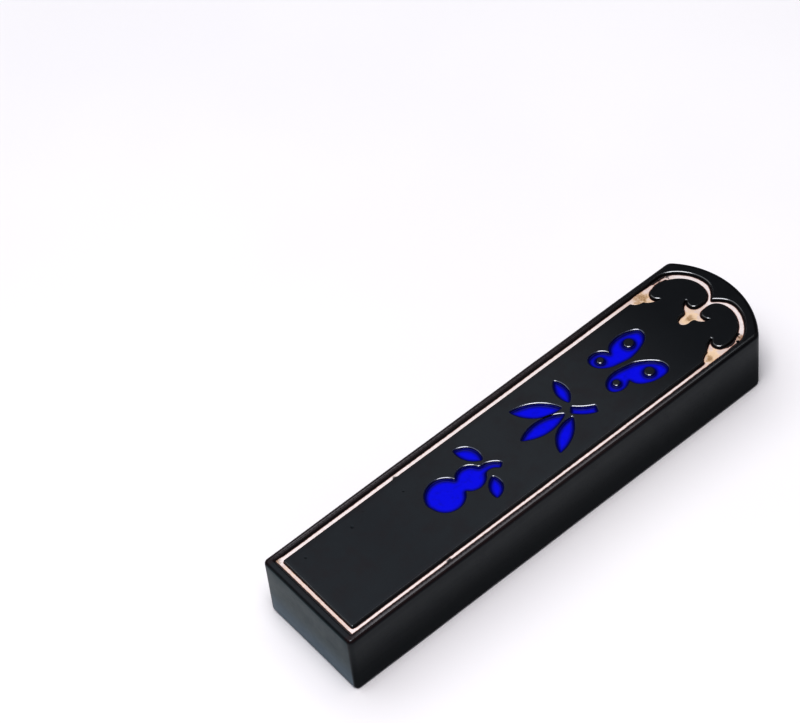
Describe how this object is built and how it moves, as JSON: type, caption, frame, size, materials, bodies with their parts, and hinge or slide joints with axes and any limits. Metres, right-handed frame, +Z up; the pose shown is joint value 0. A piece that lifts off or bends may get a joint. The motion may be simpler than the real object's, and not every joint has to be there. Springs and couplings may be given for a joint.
{
  "type": "ink stick",
  "caption": "Moulded black ink stick with an arched head, a sunk gilded border with trefoil finials, and sunk blue pictures down its upper face.",
  "frame": {"origin": "middle of the underside, below the centre of the stick's box", "axes": "+X to the right when the decorated face is read, +Y along the stick from the squared tail to the arched head, +Z up out of the decorated face"},
  "size_m": [0.0236, 0.1, 0.0146],
  "materials": {
    "ink": "dense black soot and glue, satin from polishing, with faint mottling and softened edges",
    "gilding": "thin brushed-on pale gold powder, satin, worn to brown in places",
    "blue_pigment": "brushed-on ultramarine pigment, soft satin, thinner near the walls"
  },
  "bodies": {
    "root": {"ink_block": "ink", "gilt_border": "gilding", "gilt_arches": "gilding", "blue_wings_right": "blue_pigment", "blue_wings_left": "blue_pigment", "blue_twig": "blue_pigment", "blue_leaf_small": "blue_pigment", "blue_leaf_left": "blue_pigment", "blue_leaf_middle": "blue_pigment", "blue_leaf_right": "blue_pigment", "blue_gourd": "blue_pigment", "blue_gourd_leaf_left": "blue_pigment", "blue_gourd_leaf_right": "blue_pigment"}
  },
  "joints": []
}
